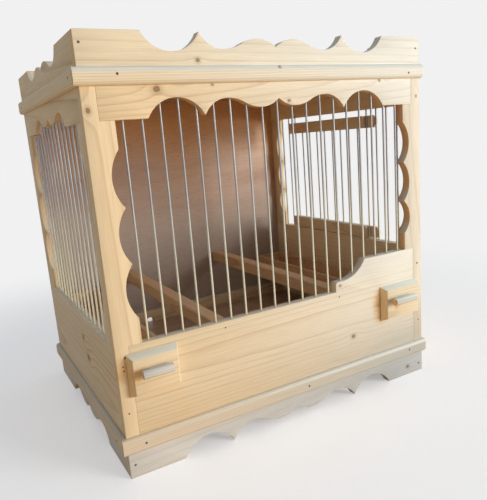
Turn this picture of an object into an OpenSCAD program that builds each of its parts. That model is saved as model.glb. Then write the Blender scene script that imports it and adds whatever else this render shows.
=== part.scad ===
// Wooden breeding cage for canaries: a nailed softwood case with scroll-sawn boards, bars of
// steel wire, a side door, two long seed drawers, two perches and a tray that slides out at the back.
// Millimetres. +X is to the right, +Y to the back, +Z up; Z = 0 is the surface that the cage stands on.

/* [Case] */
// Width of the case over its side walls
case_w = 350; // [320:5:420]
// Depth of the case, front face to back face
case_d = 280; // [250:5:360]
// Height from the feet to the top of the crown
case_h = 365; // [335:5:440]
// Thickness of the softwood boards
board_t = 9; // [8:0.5:12]
// Thickness of the plywood floor, roof and back
ply_t = 4; // [3:0.5:5]

/* [Boards] */
// Height of the skirt boards under the floor
skirt_h = 34; // [30:1:44]
// Height of the crown boards on the roof
crown_h = 30; // [26:1:40]
// Height of the header boards over the windows
header_h = 32; // [28:1:40]
// Height of the low sill above the floor: left side and left part of the front
low_sill_h = 80; // [76:1:96]
// Height of the high sill above the floor: right side and right part of the front
high_sill_h = 108; // [102:1:125]
// Place of the rise in the front sill, right of the middle
rise_x = 54.5; // [30:0.5:70]
// Height of the upright nose where the front sill begins to rise
nose_h = 10; // [5:0.5:12]
// Radius of the nose's top corner
nose_r = 3; // [1:0.5:4]
// Width of the nose's flat top, with its corner
nose_flat = 7.5; // [5:0.5:12]
// Width of the sweep from the nose up to the high sill
sweep_w = 31; // [26:1:40]

/* [Scroll template] */
// Distance of the outer arches from the board's middle
arch_x = 98.8; // [97:0.2:104]
// Half width of an outer arch
arch_half = 25; // [22:1:28]
// Depth of an outer arch
arch_depth = 15.4; // [10:0.2:18]
// Distance of the two inner hollows from the board's middle
hollow_x = 52; // [48:1:56]
// Depth of an inner hollow
hollow_depth = 13.4; // [9:0.2:16]
// Distance of the two lobes from the board's middle
lobe_x = 18; // [14:1:22]
// Depth of the lobes' crests below the board's edge
lobe_depth = 4.6; // [2:0.2:7]
// Depth of the sharp notch between the lobes
notch_depth = 11.4; // [9:0.2:14]

/* [Stiles] */
// Width of a window stile, at the front and seen from the side
stile_w = 24; // [22:1:28]
// Width of the strips of the front stiles beside the valance and the front board
post_w = 12; // [9:0.5:15]
// Depth of the scallops in a stile's inner edge
scallop_depth = 8; // [5:0.5:9]
// Usual pitch of the scallops, stretched a little to fill a stile
scallop_pitch = 43; // [34:1:50]
// Straight stretch at both ends of a scalloped edge, over a low sill
low_straight = 22; // [14:1:26]
// Straight stretch at both ends of a scalloped edge, over a high sill
high_straight = 18; // [14:1:26]
// How much shorter the lowest scallop is over a high sill
short_scallop = 6; // [0:1:8]

/* [Bands] */
// Height of the moulded bands that run round the case
band_h = 14; // [11:1:18]
// Thickness of the bands
band_t = 4.5; // [4:0.5:8]
// Radius of the bands' rounded edges
band_r = 3; // [1:0.5:3.5]

/* [Wires] */
// Diameter of the bars
wire_d = 2; // [1.6:0.1:3]
// Distance from bar to bar
wire_pitch = 16; // [13:1:18]
// Depth to which a bar is seated in the wood
wire_seat = 8; // [5:1:11]
// Play round a bar in its hole, on the radius
wire_play = 0.05; // [0.02:0.01:0.1]

/* [Side door] */
// Height of a door rail
rail_h = 14; // [11:1:18]
// Gap between the upper rail and the header
rail_drop = 7; // [4:1:16]
// Gap between the lower rail and the sill
rail_lift = 1; // [0.5:0.5:4]
// Length of the rails behind the hinge bar
rail_heel = 10; // [7:1:12]
// Bars between the hinge bar and the middle of the window
hinge_bars = 5; // [4:1:6]
// Bars between the middle of the window and the first bar that the door shuts on
latch_bars = 4; // [2:1:4]
// Play of the hinge bar in the rails, on the radius
hinge_play = 0.09; // [0.05:0.01:0.1]

/* [Seed drawers] */
// Width of a drawer's box
drawer_w = 40; // [32:1:40]
// Height of a drawer's box
drawer_h = 27; // [22:1:32]
// Height of a drawer's underside above the floor
drawer_lift = 38; // [34:1:42]
// Thickness of a drawer's bottom, sides and back
drawer_wall = 4; // [3:0.5:5]
// Width of the block that closes the left drawer's opening
block_left_w = 46; // [46:1:56]
// Width of the block that closes the right drawer's opening
block_right_w = 52; // [46:1:56]
// Height of the blocks
block_h = 38; // [35:1:42]
// Thickness of the blocks
block_t = 8; // [6:0.5:12]
// How far a block's sides lean in from its back to its face
block_bevel = 3.3; // [2:0.1:6]
// Length of the left pull
pull_left_w = 27; // [20:1:34]
// Length of the right pull
pull_right_w = 30; // [20:1:34]
// Height of the pulls
pull_h = 7; // [6:0.5:12]
// Thickness of the pulls, front to back
pull_t = 7; // [6:0.5:10]
// Thickness of the pulls' necks, front to back
neck_t = 3.5; // [1.5:0.5:5]
// Play between a drawer and the boards round it
drawer_play = 0.5; // [0.3:0.1:1]

/* [Tray] */
// Thickness of the tray's sheet
tray_t = 3; // [2:0.5:4]
// Height of the strip along the tray's back edge
strip_h = 18; // [16:1:24]
// Thickness of that strip
strip_t = 12; // [8:1:16]
// Width of the finger notch under the strip
finger_w = 12; // [8:1:18]
// Height of the finger notch above the floor
finger_h = 9.5; // [6:0.5:12]
// Distance of the finger notch left of the middle
finger_x = 55; // [20:1:100]
// Play round the tray
tray_play = 0.5; // [0.3:0.1:1]

/* [Perches] */
// Thickness of the square perches
perch_t = 14; // [9:0.5:15]
// Radius of the perches' eased edges
perch_r = 1.5; // [0.5:0.5:3]
// Height of the left perch's middle above the floor
perch_left_rise = 71.5; // [68:0.5:76]
// Height of the right perch's middle above the floor
perch_right_rise = 75.5; // [68:0.5:80]
// Distance of the left perch from the middle
perch_left = 73; // [60:1:100]
// Distance of the right perch from the middle
perch_right = 59; // [40:1:100]

/* [Hidden] */

$fn = 48;
arc_steps = 9;        // chords along each arc of an outline
slack = 0.3;          // gap left between pieces that slide or shut against each other
over = 1;             // length by which a cutter passes the wood

// Front and back faces, set so that pulls and bands reach equally far from Y = 0
reach_front = slack + block_t + neck_t + pull_t;
y_mid = (reach_front - band_t) / 2;
y_front = y_mid - case_d / 2;
y_back = y_mid + case_d / 2;
y_inner_front = y_front + board_t;
y_inner_back = y_back - ply_t;

x_side = case_w / 2;                    // outer face of a side wall
x_wall = x_side - board_t;              // inner face of a side wall
x_post = x_side - post_w;               // inner face of the strips at the front corners
x_window = x_side - stile_w;            // inner edge of a front stile
y_window = case_d / 2 - stile_w;        // half length of a side window

z_floor = skirt_h + ply_t;
z_low = z_floor + low_sill_h;
z_high = z_floor + high_sill_h;
z_crown = case_h - crown_h;
z_roof = z_crown - ply_t;               // underside of the roof
z_header = z_roof - header_h;           // lower edge of the headers

wire_r = wire_d / 2;
y_front_wires = y_front + board_t / 2;
x_side_wires = x_side - board_t / 2;
front_bars = floor((x_window - wire_d) / wire_pitch);
side_bars = floor((y_window - wire_d) / wire_pitch);
y_hinge = y_mid + hinge_bars * wire_pitch;
y_latch = y_mid - latch_bars * wire_pitch;

z_drawer = z_floor + drawer_lift;
drawer_len = y_inner_back - y_front - 2 * drawer_wall;
drawer_x = x_post - 2 * drawer_play - drawer_w / 2;
block_z = z_drawer + drawer_h / 2 + 3;
block_left_x = block_left_w / 2 - x_post - 4;
block_right_x = x_post + 2 - block_right_w / 2;

// ---- Outlines ----

// Radius of the circle that is level at p and passes through q
function arc_r(p, q) =
    let(w = q[0] - p[0], h = q[1] - p[1]) (w * w + h * h) / (2 * abs(h));

// Point at the share t of that circle's stretch from p to q
function arc_point(p, q, t) =
    let(w = q[0] - p[0], h = q[1] - p[1], r = arc_r(p, q), a = 2 * atan(abs(h / w)) * t)
    [p[0] + sign(w) * r * sin(a), p[1] + sign(h) * r * (1 - cos(a))];

// Points from the level point p to just before q, and from q to just before p
function arc_from(p, q) = [for (i = [0 : arc_steps - 1]) arc_point(p, q, i / arc_steps)];
function arc_to(q, p) = [for (i = [0 : arc_steps - 1]) arc_point(p, q, 1 - i / arc_steps)];

// Height of that circle over x
function arc_at(p, q, x) =
    let(r = arc_r(p, q), h = q[1] - p[1])
    p[1] + sign(h) * (r - sqrt(max(0, r * r - (x - p[0]) * (x - p[0]))));

// The scroll template, as [distance from the middle, depth below the edge]
notch = [0, notch_depth];
lobe = [lobe_x, lobe_depth];
hollow = [hollow_x, hollow_depth];
bend = (lobe + hollow) / 2;
tip = [arch_x - arch_half, 0];
arch = [arch_x, arch_depth];
arch_end = [arch_x + arch_half, 0];

function scroll_half(arched) = concat(
    arc_to(notch, lobe), arc_from(lobe, bend), arc_to(bend, hollow), arc_from(hollow, tip),
    arched ? concat(arc_to(tip, arch), arc_from(arch, arch_end), [arch_end]) : [tip]);

// Depth of the template at the distance x from the middle
function scroll_depth(x, arched) =
    let(u = abs(x))
    u < lobe[0] ? arc_at(lobe, notch, u) :
    u < bend[0] ? arc_at(lobe, bend, u) :
    u < hollow[0] ? arc_at(hollow, bend, u) :
    u < tip[0] ? arc_at(hollow, tip, u) :
    arched && u < arch_end[0] ? arc_at(arch, arch_end, u) : 0;

// A board from x = from to x = to, straight at y = 0 and scrolled at y = height
module scroll_board(from, to, height, arched) {
    half = scroll_half(arched);
    last = len(half) - 1;
    polygon(concat(
        [[from, 0], [to, 0], [to, height]],
        [for (i = [last : -1 : 0]) [half[i][0], height - half[i][1]]],
        [for (i = [1 : last]) [-half[i][0], height - half[i][1]]],
        [[from, height]]));
}

// Points along one scallop of a stile's edge, from height z0 down to just before z1
function scallop(z0, z1, edge, inward) =
    let(mid = (z0 + z1) / 2, crest = [mid, scallop_depth])
    [for (p = concat(arc_to([z0, 0], crest), arc_from(crest, [z1, 0])))
        [edge - inward * p[1], p[0]]];

// Scalloped edge from the header down to a sill
function scalloped_edge(sill, edge, inward) =
    let(straight = sill == z_low ? low_straight : high_straight,
        short = sill == z_low ? 0 : short_scallop,
        top = z_header - straight,
        bottom = sill + straight,
        count = max(1, round((top - bottom) / scallop_pitch)),
        pitch = (top - bottom + short) / count)
    concat(
        [[edge, z_header]],
        [for (i = [0 : count - 1], p = scallop(top - i * pitch,
            i < count - 1 ? top - (i + 1) * pitch : bottom, edge, inward)) p],
        [[edge, bottom], [edge, sill]]);

// Top edge of the front board
function front_sill(x) =
    let(sweep = [rise_x + nose_flat, z_low + nose_h])
    x < rise_x ? z_low :
    x < sweep[0] ? sweep[1] :
    x < sweep[0] + sweep_w ? arc_at(sweep, [sweep[0] + sweep_w, z_high], x) : z_high;

// ---- Placing ----

// Stands an outline drawn in x and z up as a board with its front face at y
module facing_front(y, thickness) {
    translate([0, y + thickness, 0]) rotate([90, 0, 0]) linear_extrude(thickness) children();
}

// Stands an outline drawn in y and z up as a board with its left face at x
module facing_side(x, thickness) {
    translate([x, 0, 0]) rotate([90, 0, 90]) linear_extrude(thickness) children();
}

// Turns an outline over at the height z
module upside_down(z) {
    translate([0, z]) mirror([0, 1]) children();
}

// ---- Crown and skirt ----

module crown_across(y) {
    color("burlywood") facing_front(y, board_t) translate([0, z_crown])
        scroll_board(-x_side, x_side, crown_h, true);
}

module crown_along(x) {
    half = case_d / 2 - board_t;
    color("burlywood") facing_side(x, board_t) translate([y_mid, z_crown])
        scroll_board(-half, half, crown_h, false);
}

module skirt_across(y) {
    color("burlywood") facing_front(y, board_t) upside_down(skirt_h)
        scroll_board(-x_side, x_side, skirt_h, true);
}

module skirt_along(x) {
    half = case_d / 2 - board_t;
    color("burlywood") facing_side(x, board_t) translate([y_mid, 0]) upside_down(skirt_h)
        scroll_board(-half, half, skirt_h, false);
}

module crown_front() crown_across(y_front);
module crown_back() crown_across(y_back - board_t);
module crown_left() crown_along(-x_side);
module crown_right() crown_along(x_wall);
module skirt_front() skirt_across(y_front);
module skirt_back() skirt_across(y_back - board_t);
module skirt_left() skirt_along(-x_side);
module skirt_right() skirt_along(x_wall);

// ---- Bands ----

// A rectangle on the X axis whose two corners away from it are rounded
module soft_edge(length, depth) {
    intersection() {
        square([length, depth]);
        union() {
            square([length, depth - band_r]);
            translate([band_r, 0]) square([length - 2 * band_r, depth]);
            for (x = [band_r, length - band_r]) translate([x, depth - band_r]) circle(band_r);
        }
    }
}

// A band along X, lying against the plane y = 0 and standing out to -Y
module band(length, round_ends) {
    color("tan") intersection() {
        translate([-length / 2, 0, 0]) mirror([0, 1, 0]) linear_extrude(band_h) {
            if (round_ends) soft_edge(length, band_t);
            else square([length, band_t]);
        }
        rotate([0, -90, 180]) translate([0, 0, -length]) linear_extrude(2 * length)
            soft_edge(band_h, band_t);
    }
}

module band_across(z, back) {
    translate([0, back ? y_back : y_front, z]) rotate(back ? 180 : 0)
        band(case_w + 2 * band_t, true);
}

module band_along(z, side) {
    translate([side * x_side, y_mid, z]) rotate(side * 90) band(case_d, false);
}

z_upper_band = z_roof - (band_h - ply_t) / 2 - 1.5;
z_lower_band = z_floor - band_h;

module upper_band_front() band_across(z_upper_band, false);
module upper_band_back() band_across(z_upper_band, true);
module upper_band_left() band_along(z_upper_band, -1);
module upper_band_right() band_along(z_upper_band, 1);
module lower_band_front() band_across(z_lower_band, false);
module lower_band_back() band_across(z_lower_band, true);
module lower_band_left() band_along(z_lower_band, -1);
module lower_band_right() band_along(z_lower_band, 1);

// ---- Plywood panels ----

module panel(z) {
    color("peru") translate([-x_side, y_front, z]) cube([case_w, case_d, ply_t]);
}

module roof_panel() panel(z_roof);
module floor_panel() panel(skirt_h);

// The back has a slot over the floor, through which the tray slides out
module back_panel() {
    z_slot = z_floor + strip_h + tray_play;
    color("peru") facing_front(y_inner_back, ply_t) polygon([
        [-x_side, z_floor], [-x_side, z_roof], [x_side, z_roof], [x_side, z_floor],
        [x_wall, z_floor], [x_wall, z_slot], [-x_wall, z_slot], [-x_wall, z_floor]]);
}

// ---- Front ----

// A front stile, notched where it passes the valance and the front board
module front_stile(side, sill) {
    color("wheat") facing_front(y_front, board_t) polygon(concat(
        [[side * x_side, z_floor], [side * x_side, z_roof], [side * x_post, z_roof],
            [side * x_post, z_header]],
        scalloped_edge(sill, side * x_window, -side),
        [[side * x_post, sill], [side * x_post, z_floor]]));
}

module front_stile_left() front_stile(-1, z_low);
module front_stile_right() front_stile(1, z_high);

// Hole for the bar at [x, y], up or down into the wood from its edge at the height z
module bar_hole(x, y, z, up) {
    depth = wire_seat + slack;
    mouth = 3 * over;
    translate([x, y, up ? z - mouth : z - depth])
        cylinder(r = wire_r + wire_play, h = depth + mouth);
}

front_bar_x = [for (i = [-front_bars : front_bars]) i * wire_pitch];

module front_valance() {
    color("wheat") difference() {
        facing_front(y_front, board_t) upside_down(z_roof)
            scroll_board(-x_post, x_post, header_h, true);
        for (x = front_bar_x)
            bar_hole(x, y_front_wires, z_header + scroll_depth(x, true), true);
    }
}

module front_board() {
    nose_top = z_low + nose_h;
    nose = [for (a = [0 : 15 : 90]) [rise_x + nose_r * (1 - cos(a)), nose_top - nose_r * (1 - sin(a))]];
    sweep = [rise_x + nose_flat, nose_top];
    sweep_end = [sweep[0] + sweep_w, z_high];
    opening = [drawer_w + 3 * drawer_play + over, drawer_h + 2 * drawer_play];
    color("wheat") difference() {
        facing_front(y_front, board_t) difference() {
            polygon(concat(
                [[x_post, z_floor], [-x_post, z_floor], [-x_post, z_low], [rise_x, z_low]],
                nose, arc_from(sweep, sweep_end), [sweep_end, [x_post, z_high]]));
            for (x = [-x_post - over, x_post + over - opening[0]])
                translate([x, z_drawer - drawer_play]) square(opening);
        }
        for (x = front_bar_x) bar_hole(x, y_front_wires, front_sill(x), false);
    }
}

module front_wires() {
    color("silver") for (x = front_bar_x) {
        bottom = front_sill(x) - wire_seat;
        top = z_header + scroll_depth(x, true) + wire_seat;
        translate([x, y_front_wires, bottom]) cylinder(r = wire_r, h = top - bottom);
    }
}

// ---- Side walls ----

// Bars of the side windows, counted from the middle; the door takes the place of some on the right
left_bars = [for (i = [-side_bars : side_bars]) i];
right_bars = [for (i = left_bars) if (i <= -latch_bars || i >= hinge_bars) i];
door_bars = [for (i = [1 - latch_bars : hinge_bars - 1]) i];

// Lower edge of a side header at the distance y from the middle; the right one is straight
function side_edge(y, scrolled) = z_header + (scrolled ? scroll_depth(y, false) : 0);

module side_header(x, bars, scrolled) {
    from = y_inner_front - y_mid;
    to = y_inner_back - y_mid;
    color("wheat") difference() {
        facing_side(x, board_t) translate([y_mid, 0]) upside_down(z_roof) {
            if (scrolled) scroll_board(from, to, header_h, false);
            else translate([from, 0]) square([to - from, header_h]);
        }
        for (i = bars) {
            y = i * wire_pitch;
            bar_hole(x + board_t / 2, y_mid + y, side_edge(y, scrolled), true);
        }
    }
}

module side_board(x, sill, bars) {
    color("wheat") difference() {
        translate([x, y_inner_front, z_floor])
            cube([board_t, y_inner_back - y_inner_front, sill - z_floor]);
        for (i = bars) bar_hole(x + board_t / 2, y_mid + i * wire_pitch, sill, false);
    }
}

// A stile at the end of a side window: end is -1 at the front and 1 at the back
module side_stile(x, sill, end) {
    y_end = end < 0 ? y_inner_front : y_inner_back;
    color("wheat") facing_side(x, board_t) polygon(concat(
        [[y_end, sill], [y_end, z_header]],
        scalloped_edge(sill, y_mid + end * y_window, -end)));
}

module side_wires(x, sill, bars, scrolled) {
    color("silver") for (i = bars) {
        y = i * wire_pitch;
        bottom = sill - wire_seat;
        top = side_edge(y, scrolled) + wire_seat;
        translate([x, y_mid + y, bottom]) cylinder(r = wire_r, h = top - bottom);
    }
}

module left_header() side_header(-x_side, left_bars, true);
module left_board() side_board(-x_side, z_low, left_bars);
module left_stile_front() side_stile(-x_side, z_low, -1);
module left_stile_rear() side_stile(-x_side, z_low, 1);
module left_wires() side_wires(-x_side_wires, z_low, left_bars, true);

module right_header() side_header(x_wall, right_bars, false);
module right_board() side_board(x_wall, z_high, right_bars);
module right_stile_front() side_stile(x_wall, z_high, -1);
module right_stile_rear() side_stile(x_wall, z_high, 1);
module right_wires(bars) side_wires(x_side_wires, z_high, bars, false);
module right_front_wires() right_wires([for (i = right_bars) if (i < 0) i]);
module right_rear_wires() right_wires([for (i = right_bars) if (i > hinge_bars) i]);
module hinge_wire() right_wires([hinge_bars]);

// ---- Side door ----

z_top_rail = z_header - rail_drop - rail_h;
z_bottom_rail = z_high + rail_lift;
y_tongue = y_latch + wire_pitch / 8;             // shoulder of the thin end outside the bars
y_nose = y_latch - wire_pitch * 7 / 8;           // front end of the rails
nose_round = 4;                                  // how far the rails' front ends bulge
shoulder_r = 1.5;
tongue_x = x_side_wires + wire_r + slack;        // inner face of the thin end

// A rail with its lower edge at the height z; bars says on which side the door's bars enter it
module door_rail(z, bars_above) {
    crest = [z + rail_h / 2, y_nose];
    low = [z, y_nose + nose_round];
    high = [z + rail_h, y_nose + nose_round];
    front = concat(arc_to(low, crest), arc_from(crest, high), [high]);
    cut = [tongue_x - x_wall + over, y_tongue - y_nose + over, rail_h + 2 * over];
    color("wheat") difference() {
        facing_side(x_wall, board_t) polygon(concat(
            [[y_hinge + rail_heel, z + rail_h], [y_hinge + rail_heel, z]],
            [for (p = front) [p[1], p[0]]]));
        translate([x_wall - over, y_nose - over, z - over]) {
            cube(cut - [0, shoulder_r, 0]);
            cube(cut - [shoulder_r, 0, 0]);
        }
        translate([tongue_x - shoulder_r, y_tongue - shoulder_r, z - over])
            cylinder(r = shoulder_r, h = rail_h + 2 * over);
        translate([x_side_wires, y_hinge, z - over])
            cylinder(r = wire_r + hinge_play, h = rail_h + 2 * over);
        for (i = door_bars)
            bar_hole(x_side_wires, y_mid + i * wire_pitch, bars_above ? z + rail_h : z, !bars_above);
    }
}

module door_top_rail() door_rail(z_top_rail, false);
module door_bottom_rail() door_rail(z_bottom_rail, true);

module door_wires() {
    bottom = z_bottom_rail + rail_h - wire_seat;
    color("silver") for (i = door_bars)
        translate([x_side_wires, y_mid + i * wire_pitch, bottom])
            cylinder(r = wire_r, h = z_top_rail + wire_seat - bottom);
}

// ---- Tray ----

tray_half = x_wall - tray_play;
y_strip = y_back - strip_t;

module tray_sheet() {
    color("silver") translate([-tray_half, y_inner_front + tray_play, z_floor + slack])
        cube([2 * tray_half, y_strip - y_inner_front - tray_play, tray_t]);
}

// The strip closes the slot in the back; its notch is round at the top
module tray_strip() {
    finger_r = finger_w / 2;
    color("wheat") facing_front(y_strip, strip_t) difference() {
        translate([-tray_half, z_floor + slack]) square([2 * tray_half, strip_h - slack]);
        translate([-finger_x, z_floor + finger_h - finger_r]) circle(finger_r);
        translate([-finger_x - finger_r, z_floor - over]) square([finger_w, over + finger_h - finger_r]);
    }
}

// ---- Perches ----

module perch(x, rise) {
    inner = perch_t - 2 * perch_r;
    color("tan") translate([x - perch_t / 2, 0, z_floor + rise - perch_t / 2])
        facing_front(y_inner_front, y_inner_back - y_inner_front) {
            translate([perch_r, 0]) square([inner, perch_t]);
            translate([0, perch_r]) square([perch_t, inner]);
            for (u = [perch_r, perch_t - perch_r], v = [perch_r, perch_t - perch_r])
                translate([u, v]) circle(perch_r);
        }
}

module perch_left_bar() perch(-perch_left, perch_left_rise);
module perch_right_bar() perch(perch_right, perch_right_rise);

// ---- Seed drawers ----

module drawer_board(side, x, y, z, size) {
    color("wheat") translate([side * drawer_x - drawer_w / 2 + x, y_front + y, z_drawer + z]) cube(size);
}

module drawer_bottom(side) drawer_board(side, 0, 0, 0, [drawer_w, drawer_len, drawer_wall]);

module drawer_side(side, outer) {
    x = side * (outer ? 1 : -1) > 0 ? drawer_w - drawer_wall : 0;
    drawer_board(side, x, 0, drawer_wall, [drawer_wall, drawer_len, drawer_h - drawer_wall]);
}

module drawer_back(side) {
    drawer_board(side, drawer_wall, drawer_len - drawer_wall, drawer_wall,
        [drawer_w - 2 * drawer_wall, drawer_wall, drawer_h - drawer_wall]);
}

// A block whose four sides lean in towards its face
module drawer_block(x, width) {
    w = width / 2;
    h = block_h / 2;
    color("burlywood") translate([x, y_front - slack, block_z]) intersection() {
        translate([0, 0, -h]) linear_extrude(block_h) polygon([
            [-w, 0], [block_bevel - w, -block_t], [w - block_bevel, -block_t], [w, 0]]);
        translate([-w, 0, 0]) rotate([90, 0, 90]) linear_extrude(width) polygon([
            [0, -h], [-block_t, block_bevel - h], [-block_t, h - block_bevel], [0, h]]);
    }
}

// A stick with its edges cut off, on a narrower neck
module drawer_pull(x, width) {
    facet = pull_t * 0.3;
    neck_h = pull_h / 2;
    neck_w = width * 0.6;
    color("burlywood") translate([x, y_front - slack - block_t, block_z + 4.3]) {
        translate([-neck_w / 2, -neck_t - facet, -neck_h / 2]) cube([neck_w, neck_t + facet, neck_h]);
        translate([-width / 2, -neck_t - pull_t / 2, 0]) rotate([90, 0, 90]) linear_extrude(width)
            intersection() {
                square([pull_t, pull_h], center = true);
                rotate(45) square((pull_t + pull_h) / sqrt(2) - facet, center = true);
            }
    }
}

module drawer_left_block() drawer_block(block_left_x, block_left_w);
module drawer_left_pull() drawer_pull(block_left_x - 1, pull_left_w);
module drawer_left_bottom() drawer_bottom(-1);
module drawer_left_inner_side() drawer_side(-1, false);
module drawer_left_outer_side() drawer_side(-1, true);
module drawer_left_back() drawer_back(-1);
module drawer_right_block() drawer_block(block_right_x, block_right_w);
module drawer_right_pull() drawer_pull(block_right_x - 4.3, pull_right_w);
module drawer_right_bottom() drawer_bottom(1);
module drawer_right_inner_side() drawer_side(1, false);
module drawer_right_outer_side() drawer_side(1, true);
module drawer_right_back() drawer_back(1);

// Strips nailed to the side walls, on which the drawers run
runner_w = 28;
runner_h = 8;

module runner(side) {
    color("wheat") translate([side * (x_wall - runner_w / 2) - runner_w / 2, y_inner_front,
            z_drawer - slack - runner_h])
        cube([runner_w, y_inner_back - y_inner_front, runner_h]);
}

module runner_left() runner(-1);
module runner_right() runner(1);

crown_front();
crown_back();
crown_left();
crown_right();
upper_band_front();
upper_band_back();
upper_band_left();
upper_band_right();
roof_panel();
front_stile_left();
front_stile_right();
front_valance();
front_board();
left_header();
left_board();
left_stile_front();
left_stile_rear();
right_header();
right_board();
right_stile_front();
right_stile_rear();
back_panel();
floor_panel();
lower_band_front();
lower_band_back();
lower_band_left();
lower_band_right();
skirt_front();
skirt_back();
skirt_left();
skirt_right();
front_wires();
left_wires();
right_front_wires();
right_rear_wires();
hinge_wire();
door_top_rail();
door_bottom_rail();
door_wires();
tray_sheet();
tray_strip();
perch_left_bar();
perch_right_bar();
drawer_left_block();
drawer_left_pull();
drawer_left_bottom();
drawer_left_inner_side();
drawer_left_outer_side();
drawer_left_back();
drawer_right_block();
drawer_right_pull();
drawer_right_bottom();
drawer_right_inner_side();
drawer_right_outer_side();
drawer_right_back();
runner_left();
runner_right();
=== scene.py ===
"""Looks of a wooden canary breeding cage: bare softwood, plywood and drawn steel wire."""

import math
import random

import bmesh
import bpy
from mathutils import Matrix, Vector


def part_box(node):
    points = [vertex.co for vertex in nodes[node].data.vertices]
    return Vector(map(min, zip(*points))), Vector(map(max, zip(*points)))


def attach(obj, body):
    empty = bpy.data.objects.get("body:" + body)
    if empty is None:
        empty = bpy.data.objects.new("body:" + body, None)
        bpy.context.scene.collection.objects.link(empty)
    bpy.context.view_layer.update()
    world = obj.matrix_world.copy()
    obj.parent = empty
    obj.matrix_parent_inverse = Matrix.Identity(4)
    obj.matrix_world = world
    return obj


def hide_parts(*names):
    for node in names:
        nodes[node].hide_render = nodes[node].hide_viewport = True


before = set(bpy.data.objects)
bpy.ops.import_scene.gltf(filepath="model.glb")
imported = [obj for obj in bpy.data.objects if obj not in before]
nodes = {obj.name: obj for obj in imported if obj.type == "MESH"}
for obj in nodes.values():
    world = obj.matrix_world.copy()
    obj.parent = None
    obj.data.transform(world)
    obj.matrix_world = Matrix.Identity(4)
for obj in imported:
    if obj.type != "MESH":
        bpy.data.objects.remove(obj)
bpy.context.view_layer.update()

MM = 0.001
X, Y, Z = 0, 1, 2

# ---- Camera: the photograph's viewpoint ----

CASE_MIDDLE_Y = sum(c.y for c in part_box("floor_panel")) / 2
CAMERA_AT = Vector((-276.4, -556.3, 279.1)) * MM + Vector((0, CASE_MIDDLE_Y, 0))
CAMERA_TURN = Vector((0.1821, -0.5073, -0.129))         # a rotation vector, in radians
LENS = 38.833                                           # mm, before a sensor of this width
SENSOR = 36.0
NEAREST = 10 * MM                                       # what is nearer than this isn't seen


def add_camera():
    """A level camera that looks along +Y, turned by CAMERA_TURN in its own frame."""
    level = Matrix(((1, 0, 0), (0, 0, -1), (0, 1, 0)))
    right, down, forward = Matrix.Rotation(CAMERA_TURN.length, 3, CAMERA_TURN.normalized()) @ level
    axes = Matrix((right, -down, -forward)).transposed()
    data = bpy.data.cameras.new("camera")
    data.lens = LENS
    data.sensor_width = SENSOR
    data.clip_start = NEAREST
    camera = bpy.data.objects.new("camera", data)
    camera.matrix_world = Matrix.Translation(CAMERA_AT) @ axes.to_4x4()
    bpy.context.scene.collection.objects.link(camera)
    bpy.context.scene.camera = camera


# ---- Short calls for nodes ----

COLOUR_A, COLOUR_B, COLOUR_OUT = 6, 7, 2                # the colour sockets of a mix node
MEASURES = ("LENGTH", "DISTANCE", "DOT_PRODUCT")        # what vector nodes give as one number


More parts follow.
